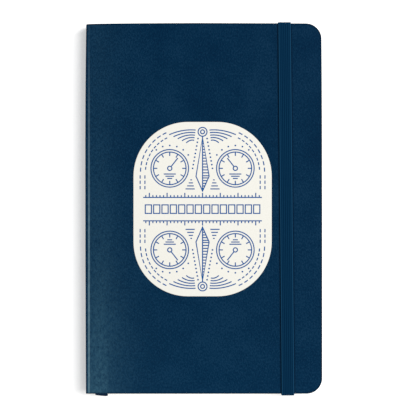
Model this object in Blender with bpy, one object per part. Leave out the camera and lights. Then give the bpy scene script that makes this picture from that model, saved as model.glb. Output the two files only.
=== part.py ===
"""Soft-cover log book: a sewn page block in a wrap-round cover, with a closing band, a cover label and a ribbon.

The book lies on its back cover. +X runs from the spine to the fore-edge, +Y to the head, +Z to the front cover.
Lengths are in metres, and the middle of the underside of the bounding box is the origin.
"""

import math

import bmesh
import bpy

MM = 0.001

# Outline of the cover
WIDTH = 133.35 * MM
HEIGHT = 209.55 * MM
FORE_CORNER_RADIUS = 8.8 * MM
SPINE_CORNER_RADIUS = 0.5 * MM

# Sheet thicknesses
SKIN = 0.6 * MM
CARD = 0.4 * MM
ENDPAPER = 0.15 * MM
SIGNATURE = 0.7375 * MM
LINING = 0.3 * MM
THREAD = 0.25 * MM
BAND = 0.7 * MM
BAND_PRESSED = 0.4 * MM
RIBBON = 0.25 * MM
LABEL = 0.2 * MM

# Counts
SIGNATURES_PER_HALF = 6
SEWING_STATIONS = 8

# Clearances
LAYER_GAP = 0.1 * MM
RIBBON_GAP = 0.05 * MM
BAND_GAP = 0.2 * MM
NOTCH_GAP = 0.2 * MM
SPINE_SPLIT_GAP = 0.2 * MM
COVER_SPLIT_GAP = 0.1 * MM

# Insets from the cover's edge
PAGE_INSET = 0.8 * MM
CARD_INSET = 0.6 * MM
CARD_SPINE_INSET = 3.0 * MM
SPINE_LIP = 1.9 * MM

# Closing band
BAND_WIDTH = 7.4 * MM
BAND_FROM_FORE_EDGE_AT_HEAD = 20.4 * MM
BAND_FROM_FORE_EDGE_AT_TAIL = 18.9 * MM
BAND_TAB = 14.0 * MM
BAND_TURN = 1.0 * MM

# Ribbon marker
RIBBON_WIDTH = 7.2 * MM
RIBBON_FROM_SPINE = 4.5 * MM
RIBBON_FOLD_BACK = 44.0 * MM
RIBBON_OVERHANG = 0.9 * MM
RIBBON_PIVOT_FROM_HEAD = 3.5 * MM
RIBBON_TAB = 20.0 * MM

# Cover label
LABEL_WIDTH = 78.8 * MM
LABEL_HEIGHT = 99.5 * MM
LABEL_RADIUS = 28.5 * MM
LABEL_SHIFT = -0.7 * MM

# Heights of the stack, from the underside up
HALF_X = WIDTH / 2
HALF_Y = HEIGHT / 2
CARD_Z = SKIN + LAYER_GAP
PASTEDOWN_Z = CARD_Z + CARD + LAYER_GAP
FLYLEAF_Z = PASTEDOWN_Z + ENDPAPER + LAYER_GAP
BLOCK_Z = FLYLEAF_Z + ENDPAPER + LAYER_GAP
SIGNATURE_STEP = SIGNATURE + LAYER_GAP
HALF_BLOCK = SIGNATURES_PER_HALF * SIGNATURE_STEP - LAYER_GAP
RIBBON_Z = BLOCK_Z + HALF_BLOCK + LAYER_GAP
RIBBON_TOP_Z = RIBBON_Z + RIBBON + RIBBON_GAP
UPPER_BLOCK_Z = RIBBON_TOP_Z + RIBBON + LAYER_GAP
FRONT_FLYLEAF_Z = UPPER_BLOCK_Z + HALF_BLOCK + LAYER_GAP
FRONT_PASTEDOWN_Z = FRONT_FLYLEAF_Z + ENDPAPER + LAYER_GAP
FRONT_CARD_Z = FRONT_PASTEDOWN_Z + ENDPAPER + LAYER_GAP
FRONT_SKIN_Z = FRONT_CARD_Z + CARD + LAYER_GAP
TOP_Z = FRONT_SKIN_Z + SKIN
SPINE_SPLIT_Z = TOP_Z / 2 + 0.2 * MM

# Places across the spine, from its outer face in
SPINE_X = -HALF_X
LINING_X = SPINE_X + SKIN + LAYER_GAP
THREAD_X = LINING_X + LINING + LAYER_GAP
FOLD_X = THREAD_X + THREAD + LAYER_GAP
PAGE_X = HALF_X - PAGE_INSET
PAGE_Y = HALF_Y - PAGE_INSET
CARD_X = SPINE_X + CARD_SPINE_INSET

# Colours and finishes: red, green, blue, roughness
NAVY = (0.007, 0.024, 0.060, 0.55)
NAVY_ELASTIC = (0.006, 0.022, 0.056, 0.80)
NAVY_RIBBON = (0.006, 0.018, 0.048, 0.60)
GREY_CARD = (0.420, 0.400, 0.360, 0.90)
CREAM = (0.860, 0.820, 0.700, 0.90)
IVORY = (0.880, 0.850, 0.760, 0.90)
LABEL_CREAM = (0.900, 0.880, 0.800, 0.70)
MULL = (0.700, 0.680, 0.620, 0.95)
WHITE_THREAD = (0.850, 0.840, 0.800, 0.85)


def finish(name, finish_values):
    """A material of one piece, from a colour and a roughness."""
    red, green, blue, roughness = finish_values
    material = bpy.data.materials.new(name)
    material.use_nodes = True
    shader = material.node_tree.nodes["Principled BSDF"]
    shader.inputs["Base Color"].default_value = (red, green, blue, 1.0)
    shader.inputs["Roughness"].default_value = roughness
    shader.inputs["Metallic"].default_value = 0.0
    material.diffuse_color = (red, green, blue, 1.0)
    return material


def solid(name, vertices, faces, finish_values, origin=(0.0, 0.0, 0.0)):
    """An object from vertices and faces, with its origin at a given place."""
    mesh = bpy.data.meshes.new(name)
    moved = [tuple(v[i] - origin[i] for i in range(3)) for v in vertices]
    mesh.from_pydata(moved, [], faces)
    work = bmesh.new()
    work.from_mesh(mesh)
    bmesh.ops.recalc_face_normals(work, faces=work.faces)
    work.to_mesh(mesh)
    work.free()
    mesh.materials.append(finish(name + "_finish", finish_values))
    piece = bpy.data.objects.new(name, mesh)
    piece.location = origin
    bpy.context.scene.collection.objects.link(piece)
    return piece


def extruded(name, outline, low, high, axis, finish_values, origin=(0.0, 0.0, 0.0)):
    """A flat outline drawn out along one axis, from low to high. The outline gives the other two axes in order."""
    count = len(outline)
    places = []
    for level in (low, high):
        for point in outline:
            place = list(point)
            place.insert(axis, level)
            places.append(tuple(place))
    faces = [tuple(range(count)), tuple(range(count, 2 * count))]
    for i in range(count):
        j = (i + 1) % count
        faces.append((i, j, count + j, count + i))
    return solid(name, places, faces, finish_values, origin)


def corner(x, y, radius, start_angle, steps):
    """Points of a quarter circle about (x, y), a quarter turn on from the start angle."""
    points = []
    for i in range(steps + 1):
        angle = start_angle + i * math.pi / 2 / steps
        points.append((x + radius * math.cos(angle), y + radius * math.sin(angle)))
    return points


def leaf_outline(low_x, high_x, half_y, fore_radius, notches=()):
    """A leaf with square spine corners and rounded fore-edge corners, anticlockwise from the tail of the spine.

    Each notch is (middle x, width, depth, which edge), with -1 for the tail and 1 for the head.
    """
    points = [(low_x, -half_y)]
    points += notch_points(notches, -1, half_y)
    points += corner(high_x - fore_radius, -half_y + fore_radius, fore_radius, -math.pi / 2, 8)
    points += corner(high_x - fore_radius, half_y - fore_radius, fore_radius, 0.0, 8)
    points += list(reversed(notch_points(notches, 1, half_y)))
    points.append((low_x, half_y))
    return points


def notch_points(notches, edge, half_y):
    """The four corners of each notch in one edge, in order of x."""
    points = []
    for middle, width, depth, side in notches:
        if side == edge:
            mouth = edge * half_y
            floor = edge * (half_y - depth)
            low_x = middle - width / 2
            high_x = middle + width / 2
            points += [(low_x, mouth), (low_x, floor), (high_x, floor), (high_x, mouth)]
    return points


def flat_leaf(name, low_x, low_z, thickness, inset, finish_values, notches=()):
    """A flat sheet of the stack, inset from the cover's outline on three sides."""
    outline = leaf_outline(low_x, HALF_X - inset, HALF_Y - inset, FORE_CORNER_RADIUS - inset, notches)
    return extruded(name, outline, low_z, low_z + thickness, 2, finish_values)


def band_x(edge):
    """The middle of the band at the head (1) or the tail (-1)."""
    if edge > 0:
        return HALF_X - BAND_FROM_FORE_EDGE_AT_HEAD
    return HALF_X - BAND_FROM_FORE_EDGE_AT_TAIL


def rounded_bend(piece, near_x, near_z, radius):
    """Rounds the long outer edge of the spine that lies nearest to (near_x, near_z)."""
    work = bmesh.new()
    work.from_mesh(piece.data)
    along_spine = []
    for edge in work.edges:
        near = all(abs(v.co.x - near_x) + abs(v.co.z - near_z) < 1e-6 for v in edge.verts)
        if near:
            along_spine.append(edge)
    bmesh.ops.bevel(work, geom=along_spine, offset=radius, segments=4, profile=0.5, affect="EDGES")
    work.to_mesh(piece.data)
    work.free()


def back_cover():
    """The back panel and the lower half of the spine, one skin turned up along the spine."""
    outline = leaf_outline(SPINE_X, HALF_X, HALF_Y, FORE_CORNER_RADIUS)
    outline.insert(1, (SPINE_X + SKIN, -HALF_Y))
    outline.insert(len(outline) - 1, (SPINE_X + SKIN, HALF_Y))
    count = len(outline)
    low = [(x, y, 0.0) for x, y in outline]
    high = [(x, y, SKIN) for x, y in outline]
    rim_z = SPINE_SPLIT_Z - SPINE_SPLIT_GAP / 2
    wall = [0, 1, count - 2, count - 1]
    rim = [(outline[i][0], outline[i][1], rim_z) for i in wall]
    faces = [tuple(range(count)), tuple(count + i for i in range(1, count - 1))]
    for i in range(count):
        j = (i + 1) % count
        faces.append((i, j, count + j, count + i))
    for i in range(4):
        j = (i + 1) % 4
        faces.append((count + wall[i], count + wall[j], 2 * count + j, 2 * count + i))
    faces.append(tuple(2 * count + i for i in range(4)))
    piece = solid("back_cover", low + high + rim, faces, NAVY)
    rounded_bend(piece, SPINE_X, 0.0, SPINE_CORNER_RADIUS)


def spine_cover():
    """The upper half of the spine with the lip that turns over on to the front."""
    rim_z = SPINE_SPLIT_Z + SPINE_SPLIT_GAP / 2
    lip_x = SPINE_X + SPINE_LIP
    profile = [
        (SPINE_X, rim_z),
        (SPINE_X + SKIN, rim_z),
        (SPINE_X + SKIN, FRONT_SKIN_Z),
        (lip_x, FRONT_SKIN_Z),
        (lip_x, TOP_Z),
        (SPINE_X, TOP_Z),
    ]
    places = [(x, -HALF_Y, z) for x, z in profile] + [(x, HALF_Y, z) for x, z in profile]
    faces = [tuple(range(6)), tuple(range(6, 12))]
    faces += [(i, (i + 1) % 6, 6 + (i + 1) % 6, 6 + i) for i in range(6)]
    piece = solid("spine_cover", places, faces, NAVY)
    rounded_bend(piece, SPINE_X, TOP_Z, SPINE_CORNER_RADIUS)


def signature(name, low_z):
    """One sewn gathering of leaves, with a rounded fold at the spine."""
    outline = leaf_outline(FOLD_X, PAGE_X, PAGE_Y, FORE_CORNER_RADIUS - PAGE_INSET)
    count = len(outline)
    fold_radius = SIGNATURE / 2
    places = []
    levels = 6
    for step in range(levels + 1):
        turn = math.pi * step / levels
        level = low_z + fold_radius * (1 - math.cos(turn))
        setback = fold_radius * (1 - math.sin(turn))
        for i, (x, y) in enumerate(outline):
            at_fold = i in (0, count - 1)
            places.append((x + setback if at_fold else x, y, level))
    faces = [tuple(range(count)), tuple(levels * count + i for i in range(count))]
    for step in range(levels):
        for i in range(count):
            j = (i + 1) % count
            faces.append((step * count + i, step * count + j, (step + 1) * count + j, (step + 1) * count + i))
    solid(name, places, faces, IVORY)


def page_block():
    """Twelve signatures, six under the ribbon and six over it."""
    for half, start in ((0, BLOCK_Z), (1, UPPER_BLOCK_Z)):
        for i in range(SIGNATURES_PER_HALF):
            number = half * SIGNATURES_PER_HALF + i + 1
            signature("signature_%02d" % number, start + i * SIGNATURE_STEP)


def spine_lining(name, low_z, high_z):
    """A strip of open cloth glued down the inside of the spine."""
    half_y = PAGE_Y - 4.0 * MM
    outline = [(-half_y, low_z), (half_y, low_z), (half_y, high_z), (-half_y, high_z)]
    extruded(name, outline, LINING_X, LINING_X + LINING, 0, MULL)


def sewing_thread(name, low_z, high_z):
    """The thread that ties the signatures of one half: a kettle run with a rise at each sewing station."""
    reach = PAGE_Y - RIBBON_TAB - 6.0 * MM
    pitch = 2 * reach / (SEWING_STATIONS - 1)
    outline = [(-reach - THREAD, low_z), (reach + THREAD, low_z)]
    for i in reversed(range(SEWING_STATIONS)):
        middle = -reach + i * pitch
        outline.append((middle + THREAD, low_z + THREAD if i < SEWING_STATIONS - 1 else high_z))
        if i < SEWING_STATIONS - 1:
            outline.append((middle + THREAD, high_z))
        outline.append((middle - THREAD, high_z))
        if i > 0:
            outline.append((middle - THREAD, low_z + THREAD))
    extruded(name, outline, THREAD_X, THREAD_X + THREAD, 0, WHITE_THREAD)


def cover_label():
    """The label on the front cover, with large round corners."""
    half_x = LABEL_WIDTH / 2
    half_y = LABEL_HEIGHT / 2
    outline = []
    for i, (side_x, side_y) in enumerate(((1, -1), (1, 1), (-1, 1), (-1, -1))):
        middle_x = LABEL_SHIFT + side_x * (half_x - LABEL_RADIUS)
        middle_y = side_y * (half_y - LABEL_RADIUS)
        outline += corner(middle_x, middle_y, LABEL_RADIUS, (i - 1) * math.pi / 2, 12)
    low_z = TOP_Z + LAYER_GAP
    extruded("cover_label", outline, low_z, low_z + LABEL, 2, LABEL_CREAM)


def band_end(name, edge):
    """One end of the band: the pressed tab under the card, and the run up the edge of the book."""
    middle = band_x(edge)
    inner = HALF_Y + BAND_GAP
    outer = inner + BAND
    tab = HALF_Y - BAND_TAB
    top = TOP_Z - 2 * LAYER_GAP - 0.1 * MM
    profile = [
        (edge * tab, CARD_Z),
        (edge * outer, CARD_Z),
        (edge * outer, top),
        (edge * inner, top),
        (edge * inner, CARD_Z + BAND_PRESSED),
        (edge * tab, CARD_Z + BAND_PRESSED),
    ]
    low_x = middle - BAND_WIDTH / 2
    extruded(name, profile, low_x, low_x + BAND_WIDTH, 0, NAVY_ELASTIC)


def elastic_band():
    """The long run of the band over the front cover, turned down at both ends. Its origin is on its turning axis."""
    low_z = TOP_Z + LAYER_GAP
    high_z = low_z + BAND
    turn_z = high_z - BAND_TURN
    inner = HALF_Y + BAND_GAP
    outer = inner + BAND
    profile = [
        (-outer, turn_z),
        (-inner, turn_z),
        (-inner, low_z),
        (inner, low_z),
        (inner, turn_z),
        (outer, turn_z),
        (outer, high_z),
        (-outer, high_z),
    ]
    head_x = band_x(1)
    tail_x = band_x(-1)
    places = []
    for side in (-1, 1):
        for y, z in profile:
            share = (y + outer) / (2 * outer)
            middle = tail_x + share * (head_x - tail_x)
            places.append((middle + side * BAND_WIDTH / 2, y, z))
    faces = [tuple(range(8)), tuple(range(8, 16))]
    faces += [(i, (i + 1) % 8, 8 + (i + 1) % 8, 8 + i) for i in range(8)]
    axis_z = TOP_Z / 2
    solid("elastic_band", places, faces, NAVY_ELASTIC, ((head_x + tail_x) / 2, 0.0, axis_z))


def ribbon_marker():
    """The ribbon between the pages, with its tail end folded back. Its origin is on its turning axis."""
    low_x = SPINE_X + RIBBON_FROM_SPINE
    end = HALF_Y + RIBBON_OVERHANG
    head = PAGE_Y - 0.05 * MM
    back = HALF_Y - RIBBON_FOLD_BACK
    profile = [
        (head, RIBBON_Z),
        (head, RIBBON_Z + RIBBON),
        (-end + RIBBON, RIBBON_Z + RIBBON),
        (-end + RIBBON, RIBBON_TOP_Z),
        (-back, RIBBON_TOP_Z),
        (-back, RIBBON_TOP_Z + RIBBON),
        (-end, RIBBON_TOP_Z + RIBBON),
        (-end, RIBBON_Z),
    ]
    pivot = (low_x + RIBBON_WIDTH / 2, HALF_Y - RIBBON_PIVOT_FROM_HEAD, RIBBON_Z)
    extruded("ribbon_marker", profile, low_x, low_x + RIBBON_WIDTH, 0, NAVY_RIBBON, pivot)


def ribbon_tab():
    """The glued start of the ribbon, down the inside of the spine and round on to the head of the pages."""
    outer_y = PAGE_Y + LAYER_GAP + RIBBON
    low_y = outer_y - RIBBON_TAB
    high_x = SPINE_X + RIBBON_FROM_SPINE + RIBBON_WIDTH
    outline = [
        (THREAD_X, low_y),
        (THREAD_X + RIBBON, low_y),
        (THREAD_X + RIBBON, outer_y - RIBBON),
        (high_x, outer_y - RIBBON),
        (high_x, outer_y),
        (THREAD_X, outer_y),
    ]
    extruded("ribbon_tab", outline, FLYLEAF_Z, RIBBON_Z - LAYER_GAP, 2, NAVY_RIBBON)


def book():
    """Every piece of the book, from the underside up."""
    notches = []
    for edge in (-1, 1):
        notches.append((band_x(edge), BAND_WIDTH + 2 * NOTCH_GAP, BAND_TAB + NOTCH_GAP - CARD_INSET, edge))
    back_cover()
    flat_leaf("back_cover_card", CARD_X, CARD_Z, CARD, CARD_INSET, GREY_CARD, notches)
    flat_leaf("back_pastedown", CARD_X, PASTEDOWN_Z, ENDPAPER, CARD_INSET, CREAM)
    flat_leaf("back_flyleaf", FOLD_X, FLYLEAF_Z, ENDPAPER, PAGE_INSET, CREAM)
    page_block()
    block_top = UPPER_BLOCK_Z + HALF_BLOCK
    spine_lining("lower_spine_lining", BLOCK_Z, SPINE_SPLIT_Z - SPINE_SPLIT_GAP)
    spine_lining("upper_spine_lining", SPINE_SPLIT_Z + SPINE_SPLIT_GAP, block_top)
    sewing_thread("lower_sewing_thread", BLOCK_Z + LAYER_GAP, BLOCK_Z + HALF_BLOCK - LAYER_GAP)
    sewing_thread("upper_sewing_thread", UPPER_BLOCK_Z + LAYER_GAP, block_top - LAYER_GAP)
    ribbon_tab()
    ribbon_marker()
    flat_leaf("front_flyleaf", FOLD_X, FRONT_FLYLEAF_Z, ENDPAPER, PAGE_INSET, CREAM)
    flat_leaf("front_pastedown", CARD_X, FRONT_PASTEDOWN_Z, ENDPAPER, CARD_INSET, CREAM)
    flat_leaf("front_cover_card", CARD_X, FRONT_CARD_Z, CARD, CARD_INSET, GREY_CARD)
    front_x = SPINE_X + SPINE_LIP + COVER_SPLIT_GAP
    flat_leaf("front_cover", front_x, FRONT_SKIN_Z, SKIN, 0.0, NAVY)
    spine_cover()
    cover_label()
    band_end("band_end_head", 1)
    band_end("band_end_tail", -1)
    elastic_band()


for old in list(bpy.data.objects):
    bpy.data.objects.remove(old, do_unlink=True)
book()
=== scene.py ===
import math

import bmesh
import bpy
import numpy as np
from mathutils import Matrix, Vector


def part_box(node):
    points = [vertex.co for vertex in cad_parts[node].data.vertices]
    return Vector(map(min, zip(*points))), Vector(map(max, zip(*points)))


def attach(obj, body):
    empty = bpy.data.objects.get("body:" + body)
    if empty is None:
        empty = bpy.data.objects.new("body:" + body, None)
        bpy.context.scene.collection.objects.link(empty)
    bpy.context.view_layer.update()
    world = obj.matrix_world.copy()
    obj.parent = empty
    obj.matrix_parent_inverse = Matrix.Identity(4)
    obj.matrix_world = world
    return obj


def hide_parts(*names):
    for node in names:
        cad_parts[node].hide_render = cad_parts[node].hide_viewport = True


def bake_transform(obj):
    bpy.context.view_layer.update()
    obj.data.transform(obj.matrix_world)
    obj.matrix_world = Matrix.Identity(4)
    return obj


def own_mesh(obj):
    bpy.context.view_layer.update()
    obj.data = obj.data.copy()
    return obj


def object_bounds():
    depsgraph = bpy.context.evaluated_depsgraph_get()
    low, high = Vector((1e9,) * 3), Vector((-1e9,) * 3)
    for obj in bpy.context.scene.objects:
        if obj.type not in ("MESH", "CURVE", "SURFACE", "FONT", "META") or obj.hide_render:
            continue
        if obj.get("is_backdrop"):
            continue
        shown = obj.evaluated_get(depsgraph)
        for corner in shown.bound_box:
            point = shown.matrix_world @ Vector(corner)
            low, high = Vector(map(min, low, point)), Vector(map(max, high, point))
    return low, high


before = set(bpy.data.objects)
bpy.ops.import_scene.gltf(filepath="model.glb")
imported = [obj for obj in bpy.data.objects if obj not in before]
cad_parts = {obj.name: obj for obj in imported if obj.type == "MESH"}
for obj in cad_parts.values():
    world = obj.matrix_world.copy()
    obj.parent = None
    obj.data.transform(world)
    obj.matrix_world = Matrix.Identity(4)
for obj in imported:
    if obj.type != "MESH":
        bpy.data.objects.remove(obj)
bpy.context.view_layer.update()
MM = 0.001


# ---------------------------------------------------------------- signatures
# Twelve gatherings, each of four sheets folded once into eight leaves of ivory writing paper.
# They are cut square on three sides and round at the two fore-edge corners after sewing.


def ring_rows(name, rows, material, smooth_angle):
    """A closed skin over rows of rings: row i is joined to row i + 1, each ring closes on itself, and the
    first and last rings are filled."""
    count, ring = rows.shape[:2]
    i, j = np.meshgrid(np.arange(count - 1), np.arange(ring), indexing="ij")
    after, beside = i + 1, (j + 1) % ring
    quads = np.stack([i * ring + j, i * ring + beside, after * ring + beside, after * ring + j], axis=-1)
    faces = quads.reshape(-1, 4).tolist()
    faces.append(np.arange(ring).tolist())
    faces.append(((count - 1) * ring + np.arange(ring)).tolist())
    mesh = bpy.data.meshes.new(name)
    mesh.from_pydata(rows.reshape(-1, 3).tolist(), [], faces)
    return finished(name, mesh, material, smooth_angle)


def finished(name, mesh, material, smooth_angle):
    """An object from a mesh, its faces turned outwards and its flat corners kept sharp."""
    work = bmesh.new()
    work.from_mesh(mesh)
    bmesh.ops.recalc_face_normals(work, faces=work.faces)
    work.to_mesh(mesh)
    work.free()
    mesh.shade_smooth()
    mesh.set_sharp_from_angle(angle=math.radians(smooth_angle))
    mesh.materials.append(material)
    piece = bpy.data.objects.new(name, mesh)
    bpy.context.scene.collection.objects.link(piece)
    return piece


def new_finish(name, roughness, specular):
    """A material with one shader, its roughness and reflection level set on the shader itself."""
    material = bpy.data.materials.new(name)
    material.use_nodes = True
    tree = material.node_tree
    shader = tree.nodes["Principled BSDF"]
    shader.inputs["Roughness"].default_value = roughness
    shader.inputs["Specular IOR Level"].default_value = specular
    return material, tree, shader


def placed(tree, scale=(1.0, 1.0, 1.0)):
    """The place on the piece in metres, times a scale on each axis."""
    place = tree.nodes.new("ShaderNodeTexCoord")
    mapping = tree.nodes.new("ShaderNodeMapping")
    mapping.inputs["Scale"].default_value = scale
    tree.links.new(place.outputs["Object"], mapping.inputs["Vector"])
    return mapping.outputs["Vector"]


def speckle(tree, vector, scale, detail=4.0, roughness=0.55):
    """A cloudy noise from 0 to 1 at so many features a metre."""
    noise = tree.nodes.new("ShaderNodeTexNoise")
    noise.inputs["Scale"].default_value = scale
    noise.inputs["Detail"].default_value = detail
    noise.inputs["Roughness"].default_value = roughness
    tree.links.new(vector, noise.inputs["Vector"])
    return noise.outputs["Fac"]


def ramp(tree, value, stops):
    """A colour for each value, blended between the stops (position, red, green, blue)."""
    node = tree.nodes.new("ShaderNodeValToRGB")
    while len(node.color_ramp.elements) < len(stops):
        node.color_ramp.elements.new(0.5)
    for element, (position, red, green, blue) in zip(node.color_ramp.elements, stops):
        element.position = position
        element.color = (red, green, blue, 1.0)
    tree.links.new(value, node.inputs["Fac"])
    return node.outputs["Color"]


def arithmetic(tree, operation, *values):
    """One sum on numbers or node outputs."""
    node = tree.nodes.new("ShaderNodeMath")
    node.operation = operation
    for socket, value in zip(node.inputs, values):
        if isinstance(value, (int, float)):
            socket.default_value = value
        else:
            tree.links.new(value, socket)
    return node.outputs["Value"]


def bumped(tree, shader, height, distance, strength=1.0):
    """Gives the shader a bump of that height in metres."""
    bump = tree.nodes.new("ShaderNodeBump")
    bump.inputs["Strength"].default_value = strength
    bump.inputs["Distance"].default_value = distance
    tree.links.new(height, bump.inputs["Height"])
    tree.links.new(bump.outputs["Normal"], shader.inputs["Normal"])


WAVE_SPACING = math.pi / 10


def paper(name, light, dark, leaf_pitch=0.0):
    """Uncoated paper: a faint cloudy fibre tone and tooth, and where a pitch is given painted shade in fine
    dark lines between stacked leaves on the upright faces, once for each pitch of height. A wave texture of
    scale 1 repeats at the wave spacing, so its scale is that spacing over the pitch."""
    material, tree, shader = new_finish(name, 0.92, 0.12)
    fibre = speckle(tree, placed(tree, (1.0, 0.35, 1.0)), 900.0, 5.0)
    tone = ramp(tree, fibre, [(0.3, *dark), (0.7, *light)])
    if leaf_pitch:
        # Painted shade between the leaves, on the upright faces only.
        wave = tree.nodes.new("ShaderNodeTexWave")
        wave.bands_direction = "Z"
        wave.inputs["Scale"].default_value = WAVE_SPACING / leaf_pitch
        wave.inputs["Distortion"].default_value = 0.6
        wave.inputs["Detail Scale"].default_value = 8.0
        tree.links.new(placed(tree), wave.inputs["Vector"])
        lines = ramp(tree, wave.outputs["Fac"], [(0.0, 0.55, 0.52, 0.46), (0.35, 1.0, 1.0, 1.0)])
        facing = tree.nodes.new("ShaderNodeNewGeometry")
        split = tree.nodes.new("ShaderNodeSeparateXYZ")
        tree.links.new(facing.outputs["True Normal"], split.inputs["Vector"])
        upright = arithmetic(tree, "LESS_THAN", arithmetic(tree, "ABSOLUTE", split.outputs["Z"]), 0.7)
        mix = tree.nodes.new("ShaderNodeMix")
        mix.data_type = "RGBA"
        mix.blend_type = "MULTIPLY"
        tree.links.new(upright, mix.inputs["Factor"])
        tree.links.new(tone, mix.inputs["A"])
        tree.links.new(lines, mix.inputs["B"])
        tone = mix.outputs["Result"]
    tree.links.new(tone, shader.inputs["Base Color"])
    bumped(tree, shader, speckle(tree, placed(tree), 2600.0, 3.0), 0.02 * MM, 0.6)
    return material


def leaf_outline(low_x, high_x, half_y, radius):
    """The ring of a leaf seen from above: square at the spine, a quarter circle at each fore-edge corner."""
    turn = np.linspace(0.0, math.pi / 2, 14)
    middle_x, middle_y = high_x - radius, half_y - radius
    tail = np.stack([middle_x + radius * np.sin(turn), -middle_y - radius * np.cos(turn)], axis=1)
    head = np.stack([middle_x + radius * np.cos(turn), middle_y + radius * np.sin(turn)], axis=1)
    return np.vstack([[[low_x, -half_y]], tail, head, [[low_x, half_y]]])


LEAVES = 8
LEAF_PITCH = 0.0922 * MM
LEAF_GROOVE = 0.07 * MM
LEAF_CORNER = 8.0 * MM
TRIM_ROUGHNESS = 0.05 * MM
page_paper = paper("ivory_page_paper", (0.80, 0.765, 0.665), (0.745, 0.705, 0.600), LEAF_PITCH)


def signature(number):
    """One gathering. Each ring is the leaf's outline at one height. A ring between two leaves is drawn in by
    the groove's depth, and every ring by a sine of its height for the uneven trim. At the spine the rings
    follow a half circle, which is the fold."""
    node = "signature_%02d" % number
    low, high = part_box(node)
    thick = high.z - low.z
    levels = np.linspace(0.0, 1.0, 2 * LEAVES + 1)
    drawn_in = np.where(np.arange(2 * LEAVES + 1) % 2 == 0, LEAF_GROOVE, 0.0)
    drawn_in += TRIM_ROUGHNESS * (1 + np.sin(number * 2.4 + levels * 3.0))
    outline = leaf_outline(low.x, high.x, high.y, LEAF_CORNER)
    rows = np.zeros((len(levels), len(outline), 3))
    reach = np.array([high.x, high.y])
    rows[:, :, :2] = outline[None] * (1 - drawn_in[:, None, None] / reach)
    at_fold = outline[:, 0] < low.x + 1e-6
    fold = thick / 2 * (1 - np.sqrt(np.clip(1 - (2 * levels - 1) ** 2, 0, 1)))
    rows[:, at_fold, 0] = (low.x + fold)[:, None]
    rows[:, :, 2] = (low.z + thick * levels)[:, None]
    piece = ring_rows("gathering_%02d" % number, rows, page_paper, 30.0)
    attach(piece, "lower_book" if number <= 6 else "upper_pages")
    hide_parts(node)


for each in range(1, 13):
    signature(each)


# ---------------------------------------------------------------- printed page ruling
# The two pages that show when the book lies open in the middle are ruled in rows and columns, as a
# flight record page is, with thin grey-blue lines and no words.


CROSSING_STEP = 0.0004 * MM


def strokes(name, lines, width, low_z, high_z, material):
    """Flat printed lines in one mesh. Each line is a row of points in the page's plane; its edge runs half
    the width to each side, square to its direction and wider at a corner by one over the cosine of half the
    turn. Lines differ a little in thickness, so that two that cross never share a face."""
    vertices, faces, start = [], [], 0
    for number, (points, closed) in enumerate(lines):
        points = np.asarray(points, float)
        leaving = np.roll(points, -1, axis=0) - points
        leaving /= np.linalg.norm(leaving, axis=1)[:, None]
        arriving = np.roll(leaving, 1, axis=0)
        if not closed:
            leaving[-1], arriving[0] = arriving[-1], leaving[0]
        along = leaving + arriving
        along /= np.maximum(np.linalg.norm(along, axis=1), 1e-6)[:, None]
        wider = 1 / np.clip((leaving * along).sum(axis=1), 0.4, 1.0)[:, None]
        across = np.stack([-along[:, 1], along[:, 0]], axis=1) * width / 2 * wider
        count = len(points)
        rows = np.zeros((count, 4, 3))
        rows[:, (0, 3), :2] = (points + across)[:, None]
        rows[:, (1, 2), :2] = (points - across)[:, None]
        rows[:, :2, 2] = low_z
        rows[:, 2:, 2] = high_z + (number % 97) * CROSSING_STEP
        spans = count if closed else count - 1
        i, j = np.meshgrid(np.arange(spans), np.arange(4), indexing="ij")
        after, beside = (i + 1) % count, (j + 1) % 4
        quads = np.stack([i * 4 + j, i * 4 + beside, after * 4 + beside, after * 4 + j], axis=-1)
        faces += (quads.reshape(-1, 4) + start).tolist()
        if not closed:
            faces += [[start, start + 1, start + 2, start + 3]]
            faces += [[start + 4 * count - 4 + k for k in range(4)]]
        vertices.append(rows.reshape(-1, 3))
        start += 4 * count
    mesh = bpy.data.meshes.new(name)
    mesh.from_pydata(np.vstack(vertices).tolist(), [], faces)
    return finished(name, mesh, material, 30.0)


def ink(name, colour):
    """Printing ink: one colour, broken very slightly by the paper's tooth."""
    material, tree, shader = new_finish(name, 0.75, 0.15)
    red, green, blue = colour
    tooth = speckle(tree, placed(tree), 3500.0, 2.0)
    tone = ramp(tree, tooth, [(0.25, red * 1.25, green * 1.2, blue * 1.1), (0.6, red, green, blue)])
    tree.links.new(tone, shader.inputs["Base Color"])
    return material


ROW_PITCH = 6.35 * MM
DOUBLE_LINE = 0.8 * MM
COLUMNS = (0.0, 0.10, 0.25, 0.40, 0.52, 0.60, 0.68, 0.76, 0.84, 1.0)
RULE_WIDTH, RULE_HEIGHT = 0.18 * MM, 0.01 * MM
ruling_ink = ink("ruling_ink", (0.23, 0.33, 0.42))


def page_lines(low, high):
    """Rows at an even pitch down the page, a double line under the heading, and columns at set shares."""
    left, right = low.x + 9.0 * MM, high.x - 6.0 * MM
    top, foot = high.y - 14.0 * MM, low.y + 12.0 * MM
    rows = int((top - foot) / ROW_PITCH)
    heights = [top - i * ROW_PITCH for i in range(rows + 1)] + [top - ROW_PITCH - DOUBLE_LINE]
    lines = [([(left, y), (right, y)], False) for y in heights]
    foot = top - rows * ROW_PITCH
    lines += [([(left + s * (right - left), top), (left + s * (right - left), foot)], False) for s in COLUMNS]
    return lines


right_low, right_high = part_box("signature_06")
right_rules = strokes("ruling_right_page", page_lines(right_low, right_high), RULE_WIDTH,
                      right_high.z, right_high.z + RULE_HEIGHT, ruling_ink)
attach(right_rules, "lower_book")
left_low, left_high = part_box("signature_07")
left_rules = strokes("ruling_left_page", page_lines(left_low, left_high), RULE_WIDTH,
                     left_low.z - RULE_HEIGHT, left_low.z, ruling_ink)
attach(left_rules, "upper_pages")


# ---------------------------------------------------------------- sewing and spine lining
# White thread ties the gatherings to each other, and a strip of open cotton cloth is glued over them.
# Both lie inside the spine and show only at the head and tail when the covers are open.


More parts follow.
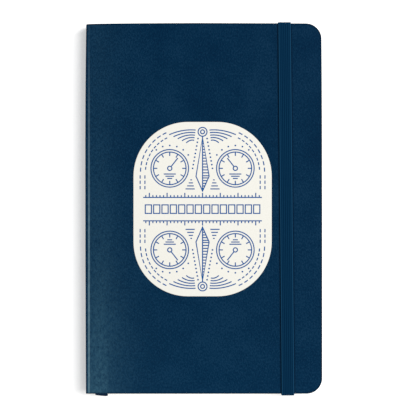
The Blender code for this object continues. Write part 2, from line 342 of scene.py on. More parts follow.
def recoat(node, material):
    """Gives a carried-over node its real finish."""
    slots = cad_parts[node].data.materials
    slots.clear()
    slots.append(material)


def threads(tree, direction, scale):
    """Even bands across the named direction, as threads lie, from 0 between two of them to 1 on each."""
    wave = tree.nodes.new("ShaderNodeTexWave")
    wave.bands_direction = direction
    wave.inputs["Scale"].default_value = scale
    tree.links.new(placed(tree), wave.inputs["Vector"])
    return wave.outputs["Fac"]


thread_finish, tree, shader = new_finish("white_sewing_thread", 0.85, 0.2)
twist = threads(tree, "DIAGONAL", 900.0)
tone = ramp(tree, twist, [(0.0, 0.50, 0.48, 0.44), (0.7, 0.82, 0.80, 0.76)])
tree.links.new(tone, shader.inputs["Base Color"])
bumped(tree, shader, twist, 0.05 * MM)
for half in ("lower", "upper"):
    recoat(half + "_sewing_thread", thread_finish)

mull_finish, tree, shader = new_finish("open_cotton_lining", 0.95, 0.1)
warp, weft = threads(tree, "Y", 420.0), threads(tree, "Z", 420.0)
cloth = arithmetic(tree, "MAXIMUM", warp, weft)
tone = ramp(tree, cloth, [(0.2, 0.40, 0.36, 0.28), (0.8, 0.72, 0.69, 0.62)])
tree.links.new(tone, shader.inputs["Base Color"])
bumped(tree, shader, cloth, 0.12 * MM)
for half in ("lower", "upper"):
    recoat(half + "_spine_lining", mull_finish)


# ---------------------------------------------------------------- endpapers
# A folded sheet of plain cream paper at the front and the back: one leaf is pasted to the cover and
# the other is the first or last free leaf.

endpaper = paper("cream_endpaper", (0.790, 0.735, 0.590), (0.745, 0.685, 0.535))
for node in ("front_pastedown", "front_flyleaf", "back_pastedown", "back_flyleaf"):
    recoat(node, endpaper)


# ---------------------------------------------------------------- cover cards
# Thin grey board glued inside each cover, so that the soft skin lies flat. The back one is notched
# where the band's pressed ends come in.

card_finish, tree, shader = new_finish("grey_board", 0.95, 0.1)
flecks = speckle(tree, placed(tree), 1500.0, 6.0, 0.7)
tone = ramp(tree, flecks, [(0.35, 0.30, 0.28, 0.25), (0.5, 0.40, 0.38, 0.35), (0.68, 0.50, 0.48, 0.44)])
tree.links.new(tone, shader.inputs["Base Color"])
bumped(tree, shader, flecks, 0.06 * MM)
recoat("front_cover_card", card_finish)
recoat("back_cover_card", card_finish)


# ---------------------------------------------------------------- ribbon marker
# A satin ribbon glued down the spine, brought over the head and laid between the pages. Its tail end
# is turned back inside, so a folded loop shows below the pages.


def satin(name, light, dark, along="Y"):
    """Satin: fine ribs across the ribbon, which runs along the named axis, and a soft sheen."""
    material, tree, shader = new_finish(name, 0.45, 0.05)
    rib = threads(tree, along, 900.0)
    tone = ramp(tree, rib, [(0.1, *dark), (0.8, *light)])
    tree.links.new(tone, shader.inputs["Base Color"])
    shader.inputs["Sheen Weight"].default_value = 0.02
    bumped(tree, shader, rib, 0.03 * MM)
    return material


def carried(name, profile, path, material, thickness):
    """A strap's section carried along a path that runs up and along the book. Each section point is (place
    across the width, height off the path), and the height times the row's share of full thickness is laid off
    square to the path."""
    along = np.gradient(path, axis=0)
    along /= np.linalg.norm(along, axis=1)[:, None]
    square = np.stack([-along[:, 2], along[:, 1]], axis=1)
    rows = np.repeat(path[:, None], len(profile), axis=1)
    rows[:, :, 0] += profile[None, :, 0]
    rows[:, :, 1:] += (profile[None, :, 1] * thickness[:, None])[..., None] * square[:, None]
    return ring_rows(name, rows, material, 50.0)


def flat_profile(width, thick, steps, ribs=0, rib_height=0.0):
    """A flat strap's section: two faces, a half-round edge at each side, and cosine ribs on both faces."""
    share = np.linspace(-1.0, 1.0, steps)
    side = width / 2 - thick / 2
    ripple = rib_height * (0.5 + 0.5 * np.cos(math.pi * ribs * (share + 1)))
    face = np.stack([share * side, thick / 2 - rib_height + ripple], axis=1)
    turn = np.linspace(math.pi / 2, -math.pi / 2, 7)[1:-1]
    edge = np.stack([side + thick / 2 * np.cos(turn), (thick / 2 - rib_height) * np.sin(turn)], axis=1)
    return np.vstack([face, edge, face[::-1] * (1, -1), edge[::-1] * (-1, 1)])


RIBBON_LIGHT, RIBBON_DARK = (0.005, 0.026, 0.068), (0.002, 0.012, 0.034)
RIBBON_WIDTH = 7.2 * MM
FOLDED_BACK = 44.0 * MM
ribbon_satin = satin("navy_satin", RIBBON_LIGHT, RIBBON_DARK)
low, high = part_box("ribbon_marker")
thin = 0.25 * MM
middle_x = (low.x + high.x) / 2 + 0.4 * MM
lower_z, upper_z = low.z + thin / 2, high.z - thin / 2
loop_y = low.y + (upper_z - lower_z) / 2 + thin / 2
turn = np.linspace(0.0, math.pi, 13)[1:-1]
down = np.linspace(high.y, loop_y, 90)
back = np.linspace(loop_y, low.y + FOLDED_BACK, 24)
path_y = np.concatenate([down, loop_y - (upper_z - lower_z) / 2 * np.sin(turn), back])
path_z = np.concatenate([
    np.full(len(down), lower_z),
    (lower_z + upper_z) / 2 - (upper_z - lower_z) / 2 * np.cos(turn),
    np.full(len(back), upper_z),
])
path = np.stack([np.full(len(path_y), middle_x), path_y, path_z], axis=1)
ribbon_profile = flat_profile(RIBBON_WIDTH, thin, 10)
ribbon = carried("satin_ribbon", ribbon_profile, path, ribbon_satin, np.ones(len(path)))

# The folded end hangs a little lower, and slants and curves across the width, dying away in 3 mm.
points = np.zeros(len(ribbon.data.vertices) * 3, np.float32)
ribbon.data.vertices.foreach_get("co", points)
points = points.reshape(-1, 3)
across = (points[:, 0] - middle_x) / (RIBBON_WIDTH / 2)
near_fold = np.exp((low.y - points[:, 1]) / (3.0 * MM))
points[:, 1] -= (0.30 * across + 0.92 - 0.34 * across**8) * MM * near_fold
ribbon.data.vertices.foreach_set("co", points.ravel())
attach(ribbon, "ribbon")
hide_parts("ribbon_marker")
recoat("ribbon_tab", satin("navy_satin_tab", RIBBON_LIGHT, RIBBON_DARK, "X"))


# ---------------------------------------------------------------- cover skin
# One sheet of soft leather-like material, matt navy with a fine pebbled grain. It is wrapped from the
# back round the spine to the front and cut flush, so its thin edges show at the head, tail and fore-edge.


def mixed(tree, share, under, over):
    """The colour under, with the given share of a second colour over it."""
    node = tree.nodes.new("ShaderNodeMix")
    node.data_type = "RGBA"
    node.inputs["B"].default_value = over + (1.0,)
    tree.links.new(share, node.inputs["Factor"])
    tree.links.new(under, node.inputs["A"])
    return node.outputs["Result"]


def fading(tree, distance, length):
    """1 at the start, dying away with distance: e to the power of minus distance over length."""
    return arithmetic(tree, "EXPONENT", arithmetic(tree, "DIVIDE", distance, -length))


def bell(tree, value, middle, width):
    """A bell curve: e to the power of minus the square of (value - middle) / width."""
    off = arithmetic(tree, "DIVIDE", arithmetic(tree, "SUBTRACT", value, middle), width)
    square = arithmetic(tree, "MULTIPLY", off, off)
    return arithmetic(tree, "EXPONENT", arithmetic(tree, "MULTIPLY", square, -1.0))


def rising(tree, value, start, span, least=0.0):
    """(value - start) / span, held between the least share and 1. A span below 0 makes it fall."""
    share = arithmetic(tree, "DIVIDE", arithmetic(tree, "SUBTRACT", value, start), span)
    return arithmetic(tree, "MINIMUM", arithmetic(tree, "MAXIMUM", share, least), 1.0)


SKIN = 0.6 * MM
CORNER = 8.8 * MM
BEND = 1.2 * MM
CUT_EDGE = 0.14 * MM
HALF_X, HALF_Y = 66.875 * MM, 104.60 * MM
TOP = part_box("front_cover")[1].z

# Where the painted sheen, painted highlight and painted shade lie on the cover, and its colours. Places are
# measured from the spine and from the tail edge.
TAIL_EDGE = 104.625 * MM
BESIDE_RIBBON = 12.9 * MM
FOLD_LINE, FOLD_WIDTH = 2.17 * MM, 0.39 * MM
BAND_MIDDLE, BAND_SLOPE = 46.55 * MM, 0.00923
BAND_SIDE, BAND_SIDE_WIDTH = 3.85 * MM, 0.45 * MM
DULL_NAVY, NAVY, PALE_NAVY = (0.0001, 0.0138, 0.0415), (0.0004, 0.0192, 0.0518), (0.0038, 0.0278, 0.0662)
TAIL_NAVY = (0.004, 0.052, 0.125)
SHEEN_PALE, FOLD_HIGHLIGHT = (0.046, 0.132, 0.190), (0.150, 0.262, 0.315)
SHADE_NAVY = (0.0003, 0.0070, 0.0230)


def skin_finish(name):
    """Coated cover material: mottled navy with a grain drawn out along the book, pebbled in the bump. Painted
    shade darkens it at the cut edges and just beside the band, and painted sheen makes it paler: a wide haze
    near the spine and the tail and a patch over the ribbon, with a painted highlight in a thin line down the
    spine's fold. It is laid out by the place at rest that each point carries."""
    material, tree, shader = new_finish(name, 0.46, 0.018)
    rest = tree.nodes.new("ShaderNodeAttribute")
    rest.attribute_name = "rest_place"
    vector = rest.outputs["Vector"]
    lengthwise = tree.nodes.new("ShaderNodeMapping")
    lengthwise.inputs["Scale"].default_value = (1.0, 0.62, 1.0)
    tree.links.new(vector, lengthwise.inputs["Vector"])
    along_book = lengthwise.outputs["Vector"]
    split = tree.nodes.new("ShaderNodeSeparateXYZ")
    tree.links.new(vector, split.inputs["Vector"])
    from_spine = arithmetic(tree, "ADD", split.outputs["X"], HALF_X)
    from_tail = arithmetic(tree, "ADD", split.outputs["Y"], TAIL_EDGE)
    front = rising(tree, split.outputs["Z"], 9.0 * MM, 2.0 * MM)

    # Mottled navy, with more contrast towards the spine and the tail, and paler and bluer towards the tail.
    toward_tail = fading(tree, from_tail, 70.0 * MM)
    near_spine = fading(tree, from_spine, 18.0 * MM)
    contrast = arithmetic(tree, "MULTIPLY_ADD", near_spine, 1.10, 0.72)
    contrast = arithmetic(tree, "MULTIPLY_ADD", toward_tail, 0.42, contrast)
    grain = arithmetic(tree, "SUBTRACT", speckle(tree, along_book, 1350.0, 2.0, 0.65), 0.5)
    cloud = arithmetic(tree, "MULTIPLY_ADD", speckle(tree, vector, 45.0, 5.0, 0.6), 0.38, 0.31)
    tone = arithmetic(tree, "MULTIPLY_ADD", arithmetic(tree, "MULTIPLY", grain, contrast), 0.85, cloud)
    base = ramp(tree, tone, [(0.38, *DULL_NAVY), (0.50, *NAVY), (0.62, *PALE_NAVY)])
    base = mixed(tree, arithmetic(tree, "MULTIPLY", toward_tail, 0.10), base, TAIL_NAVY)

    # Painted sheen: a wide haze and a patch over the ribbon, both broken into streaks along the book.
    off_middle = arithmetic(tree, "DIVIDE", arithmetic(tree, "SUBTRACT", from_spine, 7.5 * MM), 10.0 * MM)
    wide = arithmetic(tree, "DIVIDE", 1.0, arithmetic(tree, "MULTIPLY_ADD", off_middle, off_middle, 1.0))
    low_end = bell(tree, from_tail, 0.0, 85.0 * MM)
    haze = arithmetic(tree, "MULTIPLY", wide, arithmetic(tree, "MULTIPLY_ADD", low_end, 0.235, 0.055))
    over_ribbon = rising(tree, from_spine, BESIDE_RIBBON, -1.0 * MM)
    patch = arithmetic(tree, "MULTIPLY", fading(tree, from_tail, 19.0 * MM), over_ribbon)
    patch = arithmetic(tree, "MULTIPLY", arithmetic(tree, "MULTIPLY", patch, 0.12), front)
    streak = arithmetic(tree, "MULTIPLY_ADD", speckle(tree, along_book, 760.0, 4.0, 0.7), 3.4, -0.7)
    streak = arithmetic(tree, "MAXIMUM", streak, 0.0)
    painted_sheen = arithmetic(tree, "MULTIPLY", arithmetic(tree, "ADD", haze, patch), streak)
    painted_sheen = arithmetic(tree, "MULTIPLY", painted_sheen, rising(tree, from_spine, 0.3 * MM, 1.0 * MM, 0.12))
    with_sheen = mixed(tree, painted_sheen, base, SHEEN_PALE)

    # A painted highlight in a thin line along the fold, strongest in the lower half.
    fold = bell(tree, from_spine, FOLD_LINE, FOLD_WIDTH)
    lower = rising(tree, from_tail, 212.0 * MM, -122.0 * MM, 0.12)
    fold = arithmetic(tree, "MULTIPLY", fold, arithmetic(tree, "MULTIPLY", lower, 0.66))
    fold = arithmetic(tree, "MULTIPLY", fold, arithmetic(tree, "MULTIPLY_ADD", streak, 0.40, 0.60))
    with_sheen = mixed(tree, fold, with_sheen, FOLD_HIGHLIGHT)

    # Painted shade: darker at the cut edges, where the rounded edge turns from the light, and painted shadow
    # in a narrow strip at each side of the band.
    cut = tree.nodes.new("ShaderNodeAttribute")
    cut.attribute_name = "edge_shade"
    from_band = arithmetic(tree, "MULTIPLY_ADD", split.outputs["Y"], BAND_SLOPE, split.outputs["X"])
    from_band = arithmetic(tree, "ABSOLUTE", arithmetic(tree, "SUBTRACT", from_band, BAND_MIDDLE))
    band_shadow = arithmetic(tree, "MULTIPLY", bell(tree, from_band, BAND_SIDE, BAND_SIDE_WIDTH), front)
    dark = arithmetic(tree, "MULTIPLY", cut.outputs["Fac"], 0.85)
    dark = arithmetic(tree, "MAXIMUM", dark, arithmetic(tree, "MULTIPLY", band_shadow, 0.70))
    tree.links.new(mixed(tree, dark, with_sheen, SHADE_NAVY), shader.inputs["Base Color"])

    # The pebbled relief: round cells with finer creases over them.
    pebble = tree.nodes.new("ShaderNodeTexVoronoi")
    pebble.inputs["Scale"].default_value = 1500.0
    tree.links.new(vector, pebble.inputs["Vector"])
    crease = speckle(tree, vector, 900.0, 6.0, 0.7)
    height = arithmetic(tree, "MULTIPLY_ADD", crease, 1.8, pebble.outputs["Distance"])
    bumped(tree, shader, height, 0.13 * MM, 0.7)
    return material


SHEET_EDGE = 0.11 * MM
TOWARDS_HEAD = 0.085 * MM
skin = skin_finish("navy_soft_cover")


def cut_rows():
    """Places down the book, crowded at both ends, and how much thinner each side of the sheet is there: over
    the last fraction of a millimetre it thins out as a quarter circle, which softens the cut edge."""
    inner = HALF_Y - CORNER
    turn = np.linspace(0.0, math.pi / 2, 16)
    head = inner + (CORNER - CUT_EDGE) * np.sin(turn)
    lip = HALF_Y - CUT_EDGE + CUT_EDGE * np.sin(np.linspace(0.0, math.pi / 2, 7)[1:])
    end = np.concatenate([head, lip])
    middle = np.linspace(-inner, inner, 64)[1:-1]
    y = np.concatenate([-end[::-1], middle, end])
    over = np.clip((np.abs(y) - (HALF_Y - CUT_EDGE)) / CUT_EDGE, 0.0, 1.0)
    return y, CUT_EDGE * (1 - np.sqrt(1 - over**2))


def fore_draw(y):
    """How far the fore-edge draws in: 0.5 mm at the head, dying away in 35 mm."""
    return 0.5 * MM * np.exp((y - HALF_Y) / (35.0 * MM))


def fore_edge(y):
    """The cover's fore-edge at each place: nearly straight, then a quarter circle at each corner."""
    past = np.clip(np.abs(y) - (HALF_Y - CORNER), 0.0, CORNER)
    return HALF_X - fore_draw(y) - CORNER + np.sqrt(np.clip(CORNER**2 - past**2, 0.0, None))


def spine_draw(y):
    """How far the spine draws in: nothing a third of the way down, and by the square of the distance from
    there to 0.5 mm at the head and 0.35 mm at the tail, because a soft spine bows a little."""
    widest = 33.0 * MM
    to_head = np.clip((y - widest) / (HALF_Y - widest), 0.0, 1.0)
    to_tail = np.clip((widest - y) / (HALF_Y + widest), 0.0, 1.0)
    return 0.5 * MM * to_head**2 + 0.35 * MM * to_tail**2


def head_drop(x, y):
    """How far the head edge drops: in a straight line to 0.24 mm at the fore-edge, and by the square of the
    distance to 0.42 mm at the spine, with 0.26 mm more that dies away in 7 mm from the spine and 0.25 mm that
    dies away in 0.7 mm. Down the book it goes by the twelfth power of y, so it is only near the head."""
    towards_fore = np.clip((x + 2.0 * MM) / (64.0 * MM), 0.0, 1.0)
    towards_spine = np.clip((12.0 * MM - x) / (78.0 * MM), 0.0, 1.0)
    from_spine = np.clip(x + HALF_X, 0.0, None) / MM
    drop = 0.24 * towards_fore + 0.42 * towards_spine**2
    drop += 0.26 * np.exp(-from_spine / 7.0) + 0.25 * np.exp(-from_spine / 0.7)
    return MM * drop * np.clip(y / HALF_Y, 0.0, 1.0) ** 12


def cut_nearness(x, y):
    """1 at the cut edge of the cover, falling as a bell curve of the distance in from it, 0.62 mm wide."""
    side = HALF_X - fore_draw(y)
    over_x, over_y = x - (side - CORNER), np.abs(y) - (HALF_Y - CORNER)
    inward = np.minimum(side - x, HALF_Y - np.abs(y))
    round_corner = (over_x > 0) & (over_y > 0)
    inward = np.where(round_corner, CORNER - np.hypot(over_x, over_y), inward)
    return np.exp(-((np.clip(inward, 0.0, None) / (0.62 * MM)) ** 2))


def sheet_rings(x, z, half, corner):
    """Rings round a sheet whose middle line is x, z on each row: the line moved half the thickness to each
    side along its own normal, with both ends closed by two small quarter circles."""
    step = np.stack([np.gradient(x, axis=1), np.gradient(z, axis=1)], axis=-1)
    step /= np.linalg.norm(step, axis=-1)[..., None]
    square = np.stack([-step[..., 1], step[..., 0]], axis=-1)
    line = np.stack([x, z], axis=-1)
    turn = np.linspace(math.pi / 2, 0.0, 4)
    out = np.concatenate([np.cos(turn), np.cos(turn[::-1])]) * corner
    side = np.concatenate([np.sin(turn) * corner, -np.sin(turn[::-1]) * corner])
    flat = np.concatenate([np.ones(4), -np.ones(4)])[None] * (half - corner)[:, None] + side[None]
    last = line[:, -1:] + out[None, :, None] * step[:, -1:] + flat[..., None] * square[:, -1:]
    first = line[:, :1] - out[None, :, None] * step[:, :1] + flat[..., None] * square[:, :1]
    above = line + half[:, None, None] * square
    below = line - half[:, None, None] * square
    return np.concatenate([above, last, below[:, ::-1], first[:, ::-1]], axis=1)


def cover_sheet(name, x, z, y, thinning):
    """A cover sheet from its middle line on each row. Each point carries what the finish reads: how near the
    cut edge it is, which sets the painted edge shade, and its place at rest."""
    half = np.maximum(SKIN / 2 - thinning, 0.12 * MM)
    ring = sheet_rings(x, z, half, SHEET_EDGE)
    rows = np.zeros(ring.shape[:2] + (3,))
    rows[..., 0] = ring[..., 0]
    rows[..., 1] = y[:, None] + TOWARDS_HEAD - head_drop(ring[..., 0], y[:, None])
    rows[..., 2] = ring[..., 1]
    piece = ring_rows(name, rows, skin, 60.0)
    # How much painted shade darkens each point near the cut edge.
    near = piece.data.attributes.new("edge_shade", "FLOAT", "POINT")
    near.data.foreach_set("value", cut_nearness(ring[..., 0], y[:, None]).astype(np.float32).ravel())
    rest = piece.data.attributes.new("rest_place", "FLOAT_VECTOR", "POINT")
    rest.data.foreach_set("vector", rows.astype(np.float32).ravel())
    return piece


y, thinning = cut_rows()
spine_x = -HALF_X + spine_draw(y)[:, None]
edge_x = fore_edge(y)[:, None] - SHEET_EDGE
mid = SKIN / 2
radius = BEND - mid
turn = np.linspace(0.0, math.pi / 2, 9)[None]
by_edge = np.array([0.0, 0.001, 0.002, 0.0035, 0.005, 0.0075, 0.011])
share = np.concatenate([by_edge, np.linspace(0.018, 1.0, 56)])[None]
panel_x = edge_x + (spine_x + BEND - edge_x) * share[:, :-1]
low_bend_x = spine_x + BEND - radius * np.sin(turn)
low_bend_z = np.repeat(BEND - radius * np.cos(turn), len(y), axis=0)
wall_z = np.repeat(np.linspace(BEND, TOP - BEND, 40)[None, 1:-1], len(y), axis=0)
wall_x = np.repeat(spine_x + mid, wall_z.shape[1], axis=1)
high_bend_x = spine_x + BEND - radius * np.cos(turn)
high_bend_z = np.repeat(TOP - BEND + radius * np.sin(turn), len(y), axis=0)
back_x = np.concatenate([panel_x, low_bend_x, wall_x, high_bend_x], axis=1)
back_z = np.concatenate([np.full(panel_x.shape, mid), low_bend_z, wall_z, high_bend_z], axis=1)
back = cover_sheet("cover_skin_back", back_x, back_z, y, thinning)
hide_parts("back_cover", "spine_cover")
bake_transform(back)

seam = spine_x + BEND + 0.13 * MM
by_seam = np.linspace(0.0, 0.03, 14)
share = np.concatenate([by_seam, np.linspace(0.03, 0.982, 56)[1:], 1.0 - by_edge[::-1]])[None]
front_x = seam + (edge_x - seam) * share
front = cover_sheet("cover_skin_front", front_x, np.full(front_x.shape, TOP - mid), y, thinning)
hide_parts("front_cover")
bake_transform(front)


# ---------------------------------------------------------------- cover label
# A die-cut cream paper label with large round corners, stuck to the front cover. It is printed in one
# blue with four dials, two needles, two tapes and dashed curves, and a row of empty boxes for a name.


def round_rectangle(half_x, half_y, radius):
    """A rectangle's ring with quarter-circle corners, anticlockwise."""
    turn = np.linspace(0.0, math.pi / 2, 20)
    corners = []
    for i, (side_x, side_y) in enumerate(((1, -1), (1, 1), (-1, 1), (-1, -1))):
        angle = turn + (i - 1) * math.pi / 2
        middle = np.array([side_x * (half_x - radius), side_y * (half_y - radius)])
        corners.append(middle + radius * np.stack([np.cos(angle), np.sin(angle)], axis=1))
    return np.vstack(corners)


LABEL_CORNER = 30.7 * MM
LABEL_THICK = 0.24 * MM
low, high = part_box("cover_label")
label_x, label_y = (low.x + high.x) / 2 + 0.08 * MM, -0.36 * MM
label_half_x, label_half_y = (high.x - low.x) / 2 - 0.4 * MM, (high.y - low.y) / 2 - 0.56 * MM
label_base = TOP + 0.005 * MM

# Inset and height of each ring from the foot up: a straight side, a softened rim and a flat rim inside it.
rings = []
for inset, height in ((0.0, 0.0), (0.0, 0.14 * MM), (0.03 * MM, 0.2 * MM),
                      (0.10 * MM, LABEL_THICK), (0.35 * MM, LABEL_THICK)):
    ring = round_rectangle(label_half_x - inset, label_half_y - inset, LABEL_CORNER - inset)
    rings.append(np.column_stack([ring + (label_x, label_y), np.full(len(ring), label_base + height)]))
label_paper, tree, shader = new_finish("cream_label_paper", 0.62, 0.20)
fibre = speckle(tree, placed(tree), 1200.0, 5.0)
tone = ramp(tree, fibre, [(0.3, 0.785, 0.771, 0.703), (0.7, 0.834, 0.820, 0.756)])
tree.links.new(tone, shader.inputs["Base Color"])
bumped(tree, shader, fibre, 0.02 * MM, 0.5)
label = ring_rows("label_paper", np.array(rings), label_paper, 40.0)
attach(label, "front_board")
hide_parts("cover_label")


def arc(radius, first, last, middle=(0.0, 0.0), steps=40):
    """Points on a circle from one angle to another, in degrees."""
    angle = np.radians(np.linspace(first, last, steps))
    return np.stack([middle[0] + radius * np.cos(angle), middle[1] + radius * np.sin(angle)], axis=1)


def both_ends(lines):
    """Each line as drawn, and again turned over to the lower half."""
    return lines + [(np.asarray(points) * (1, -1), closed) for points, closed in lines]


def towards(degrees, distance, middle=(0.0, 0.0)):
    """The point at a distance from the middle in a direction given in degrees."""
    angle = math.radians(degrees)
    return np.array(middle) + distance * np.array([math.cos(angle), math.sin(angle)])


# The drawing's places below are in millimetres from the label's middle.


def gauge_lines(middle):
    """A round instrument: two rings, a tick every thirty degrees, a pointer from the hub and three bars."""
    lines = [(arc(10.6, 0, 352, middle), True), (arc(9.2, 0, 352, middle), True)]
    lines.append((arc(1.2, 0, 340, middle, 18), True))
    for degrees in range(0, 360, 30):
        lines.append(([towards(degrees, 7.0, middle), towards(degrees, 9.2, middle)], False))
    aim = 52 if middle[0] < 0 else 128
    lines.append(([towards(aim, 1.2, middle), towards(aim, 7.4, middle)], False))
    for i in range(3):
        width, level = 3.4 - 1.0 * i, middle[1] - 3.2 - 1.25 * i
        lines.append(([(middle[0] - width, level), (middle[0] + width, level)], False))
    return lines


def needle_lines():
    """A slim upright needle in the middle, parted down its length, with shading lines on its right half."""
    foot, waist, tip, half_width = 10.2, 18.5, 40.8, 3.7
    lines = [([(0.0, foot), (half_width, waist), (0.0, tip), (-half_width, waist)], True)]
    lines.append(([(0.0, foot), (0.0, tip)], False))
    for end, shares in ((tip, (np.arange(13) + 0.2) / 13.5), (foot, (np.arange(5) + 0.6) / 5.5)):
        for share in shares:
            y = waist + (end - waist) * share
            lines.append(([(0.0, y), (half_width * (1 - share), y)], False))
    return lines


def tape_lines():
    """A graduated tape beside the name row: a rule with a tick every two millimetres, each fifth longer."""
    level = 6.6
    lines = [([(-33.5, level), (33.5, level)], False)]
    for i in range(-16, 17):
        lines.append(([(2.0 * i, level), (2.0 * i, level + (2.6 if i % 5 == 0 else 1.3))], False))
    return lines


def sweep_lines():
    """A double ring at the top with five curved lines to each side, each one shorter than the one above."""
    lines = [(arc(2.5, 0, 351, (0.0, 43.6)), True), (arc(1.1, 0, 340, (0.0, 43.6), 24), True)]
    for i in range(5):
        reach = 18.8 - 2.6 * i
        share = np.linspace(0.0, 1.0, 14)
        x = 3.9 + 0.2 * i + (reach - 3.9) * share
        y = 44.6 - 1.45 * i + 1.3 * share * (1 - share) - (2.6 - 0.3 * i) * share**2
        lines += [(np.stack([x, y], axis=1), False), (np.stack([-x, y], axis=1), False)]
    return lines


def shoulder_lines():
    """Dashed curves near the label's shoulder, going on as short upright dashes beside the gauges, and a fan
    of level bars between each gauge and the needle."""
    lines = []
    shoulder = 28.5
    middle = (label_half_x / MM - shoulder, label_half_y / MM - shoulder)
    for inset, dash, first, last in ((4.0, 5.5, 1, 66), (6.8, 4.5, 4, 60)):
        for start in np.arange(first, last, 1.55 * dash):
            piece = arc(shoulder - inset, start, start + dash, middle, 6)
            lines += [(piece, False), (piece * (-1, 1), False)]
    for x in (35.2, 32.5):
        for y in np.arange(11.2, 19.5, 3.0):
            lines += [([(x, y), (x, y + 1.9)], False), ([(-x, y), (-x, y + 1.9)], False)]
    for i in range(4):
        y = 11.4 + 1.7 * i
        for side in (-1, 1):
            lines.append(([(side * (4.4 + 0.5 * i), y), (side * (9.6 - 0.9 * i), y)], False))
    return lines


def name_boxes():
    """The name row: fourteen empty boxes for the owner to write in, one letter to each."""
    boxes = []
    half_x, half_y = 1.75, 2.4
    for x in 4.7 * (np.arange(14) - 6.5):
        corners = [(x - half_x, -half_y), (x + half_x, -half_y), (x + half_x, half_y), (x - half_x, half_y)]
        boxes.append((corners, True))
    return boxes


def label_dots():
    """Small dots in even steps on a ring round each gauge, where there is room, and beside the needle."""
    dots, dot = [], 0.26
    for side in (-1, 1):
        middle = (18.5 * side, 23.0)
        for degrees in range(0, 360, 18):
            at = towards(degrees, 12.9, middle)
            if abs(at[0]) < 27.5 and at[1] > 15.5 and abs(at[0]) > 6.6:
                dots.append((arc(dot, 0, 315, at, 8), True))
        for i in range(9):
            dots.append((arc(dot, 0, 315, (side * (5.6 - 0.38 * i), 23.0 + 2.1 * i), 8), True))
    return dots


INK_HEIGHT = 0.008 * MM
label_blue = ink("label_blue_ink", (0.010, 0.082, 0.280))
art = both_ends(needle_lines() + gauge_lines((-18.5, 23.0)) + gauge_lines((18.5, 23.0)) + sweep_lines())
art += both_ends(tape_lines() + shoulder_lines()) + name_boxes()
fine = both_ends(label_dots())
label_top = label_base + LABEL_THICK
for name, lines, width in (("label_print", art, 0.62 * MM), ("label_print_fine", fine, 0.46 * MM)):
    placed_lines = [(np.asarray(points) * MM + (label_x, label_y), closed) for points, closed in lines]
    print_piece = strokes(name, placed_lines, width, label_top, label_top + INK_HEIGHT, label_blue)
    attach(print_piece, "front_board")


# ---------------------------------------------------------------- closing band
# Woven elastic, ribbed lengthwise. It comes out of the back cover at the head and the tail, runs up both
# edges and lies across the front near the fore-edge, nearer it at the tail than at the head.


def woven_elastic(name):
    """Elastic braid: navy, with painted shade darkening the furrows between the ribs and a painted highlight
    paling the two selvedges, by the rib height that each point carries, with a faint cross weave in tone and
    bump."""
    material, tree, shader = new_finish(name, 0.75, 0.018)
    rib = tree.nodes.new("ShaderNodeAttribute")
    rib.attribute_name = "rib"
    weft = tree.nodes.new("ShaderNodeTexWave")
    weft.bands_direction = "Y"
    weft.inputs["Scale"].default_value = 520.0
    weft.inputs["Distortion"].default_value = 1.5
    weft.inputs["Detail Scale"].default_value = 3.0
    tree.links.new(placed(tree), weft.inputs["Vector"])
    fuzz = speckle(tree, placed(tree, (1.0, 0.25, 1.0)), 1800.0, 4.0)
    fuzz = arithmetic(tree, "MULTIPLY", fuzz, 0.16)
    weave = arithmetic(tree, "MULTIPLY_ADD", weft.outputs["Fac"], 0.05, fuzz)
    weave = arithmetic(tree, "ADD", rib.outputs["Fac"], weave)
    # Painted shade in the furrows and a painted highlight on the selvedges.
    furrow, crest, selvedge = (0.0003, 0.0140, 0.0420), (0.0014, 0.0225, 0.0570), (0.0062, 0.0430, 0.0950)
    tone = ramp(tree, weave, [(0.22, *furrow), (0.50, *crest), (0.95, *selvedge)])
    tree.links.new(tone, shader.inputs["Base Color"])
    bumped(tree, shader, weave, 0.05 * MM, 0.5)
    return material


def mark_ribs(piece, profile, rows):
    """Stores on each point how high it stands in its rib: 0.10 in a furrow, 0.55 on a crest, and up to 0.9
    towards the two selvedges."""
    crest = np.clip((np.abs(profile[:, 1]) - (BAND_THICK / 2 - RIB)) / RIB, 0.0, 1.0)
    selvedge = np.clip((np.abs(profile[:, 0]) - (BAND_WIDTH / 2 - 0.80 * MM)) / (0.30 * MM), 0.0, 1.0)
    value = (0.10 + 0.45 * crest) * (1 - selvedge) + 0.90 * selvedge
    mark = piece.data.attributes.new("rib", "FLOAT", "POINT")
    mark.data.foreach_set("value", np.tile(value, rows).astype(np.float32))


elastic = woven_elastic("navy_woven_elastic")
BAND_WIDTH, BAND_THICK = 7.15 * MM, 0.7 * MM
RIB = 0.06 * MM
LEG_SHARE = 0.5
band_profile = flat_profile(BAND_WIDTH, BAND_THICK, 121, 6, RIB)
low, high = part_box("elastic_band")
head_low, head_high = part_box("band_end_head")
tail_low, tail_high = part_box("band_end_tail")
head_x = (head_low.x + head_high.x) / 2 - 0.70 * MM
tail_x = (tail_low.x + tail_high.x) / 2 - 0.25 * MM
run_z = high.z - BAND_THICK / 2
leg_head, leg_tail = 104.97 * MM, 105.33 * MM


def strap(name, path, thickness):
    """The band's section carried along a path, with its ribs marked."""
    piece = carried(name, band_profile, path, elastic, thickness)
    mark_ribs(piece, band_profile, len(path))
    return piece


bend = 0.62 * MM
turn = np.linspace(0.0, math.pi / 2, 9)
head_y, tail_y = leg_head - bend + bend * np.cos(turn), leg_tail - bend + bend * np.cos(turn)
bend_z = run_z - bend + bend * np.sin(turn)
flat_y = np.linspace(leg_head - bend, bend - leg_tail, 140)[1:-1]
path_y = np.concatenate([[leg_head], head_y, flat_y, -tail_y[::-1], [-leg_tail]])
path_z = np.concatenate([[low.z], bend_z, np.full(len(flat_y), run_z), bend_z[::-1], [low.z]])
path_x = tail_x + (head_x - tail_x) * (path_y + leg_tail) / (leg_head + leg_tail)
level = np.clip((path_z - low.z) / (run_z - low.z), 0.0, 1.0)
thickness = LEG_SHARE + (1 - LEG_SHARE) * level**2
band = strap("elastic_run", np.stack([path_x, path_y, path_z], axis=1), thickness)
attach(band, "band")
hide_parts("elastic_band")

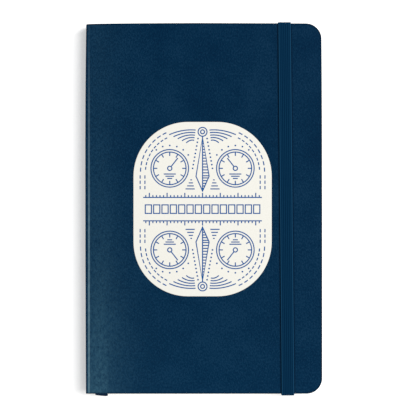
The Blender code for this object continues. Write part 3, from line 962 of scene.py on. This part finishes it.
TAB_START = 90.8 * MM
CURL = 0.75 * MM
for name, node, side, leg, middle_x in (("elastic_end_head", "band_end_head", 1, leg_head, head_x),
                                        ("elastic_end_tail", "band_end_tail", -1, leg_tail, tail_x)):
    node_low, node_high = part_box(node)
    tab_z = node_low.z + 0.2 * MM
    inner = np.linspace(TAB_START, leg - CURL, 12)
    curl = np.linspace(0.0, math.pi / 2, 9)
    curl_y = leg - CURL + CURL * np.sin(curl)
    curl_z = tab_z + CURL * (1 - np.cos(curl))
    rise = np.linspace(tab_z + CURL, node_high.z + 0.08 * MM, 24)[1:]
    path_y = np.concatenate([inner[:-1], curl_y, np.full(len(rise), leg)])
    path_z = np.concatenate([np.full(len(inner) - 1, tab_z), curl_z, rise])
    path = np.stack([np.full(len(path_y), middle_x), side * path_y, path_z], axis=1)
    end = strap(name, path, np.full(len(path), LEG_SHARE))
    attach(end, "lower_book")
    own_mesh(end)
    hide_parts(node)


# ---------------------------------------------------------------- studio
# A white table, a broad soft light from the fore-edge side and a pale surround. The camera looks straight
# down on the front cover.

floor_mesh = bpy.data.meshes.new("white_table")
REACH, FLOOR_Z = 3.0, -0.2 * MM
floor_corners = [(REACH * x, REACH * y, FLOOR_Z) for x, y in ((-1, -1), (1, -1), (1, 1), (-1, 1))]
floor_mesh.from_pydata(floor_corners, [], [(0, 1, 2, 3)])
floor_finish, tree, shader = new_finish("white_table_top", 0.9, 0.1)
shader.inputs["Base Color"].default_value = (0.90, 0.90, 0.90, 1.0)
shader.inputs["Emission Color"].default_value = (1.0, 1.0, 1.0, 1.0)
shader.inputs["Emission Strength"].default_value = 0.38
floor_mesh.materials.append(floor_finish)
floor = bpy.data.objects.new("white_table", floor_mesh)
bpy.context.scene.collection.objects.link(floor)
floor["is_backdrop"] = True


def soft_light(name, place, aim, size, power):
    """A rectangular light at a place, turned towards a point."""
    lamp = bpy.data.lights.new(name, "AREA")
    lamp.shape = "RECTANGLE"
    lamp.size, lamp.size_y = size
    lamp.energy = power
    holder = bpy.data.objects.new(name, lamp)
    holder.location = place
    direction = Vector(aim) - Vector(place)
    holder.rotation_euler = direction.to_track_quat("-Z", "Y").to_euler()
    bpy.context.scene.collection.objects.link(holder)


soft_light("key_from_fore_edge", (1.20, 0.30, 1.96), (0.0, 0.0, 0.0), (1.05, 1.80), 55.0)
world = bpy.data.worlds.new("pale_surround")
bpy.context.scene.world = world
world.use_nodes = True
world.node_tree.nodes["Background"].inputs["Color"].default_value = (1.0, 1.0, 1.0, 1.0)
world.node_tree.nodes["Background"].inputs["Strength"].default_value = 0.35

SEEN_WIDTH = 234.7 * MM
lens = bpy.data.cameras.new("overhead_camera")
lens.lens = 120.0
lens.sensor_width = 36.0
lens.clip_start = 0.01
camera = bpy.data.objects.new("overhead_camera", lens)
camera.location = (2.45 * MM, 0.28 * MM, TOP + SEEN_WIDTH * lens.lens / lens.sensor_width)
bpy.context.scene.collection.objects.link(camera)
bpy.context.scene.camera = camera
bpy.context.scene.view_settings.view_transform = "Standard"

low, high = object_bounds()
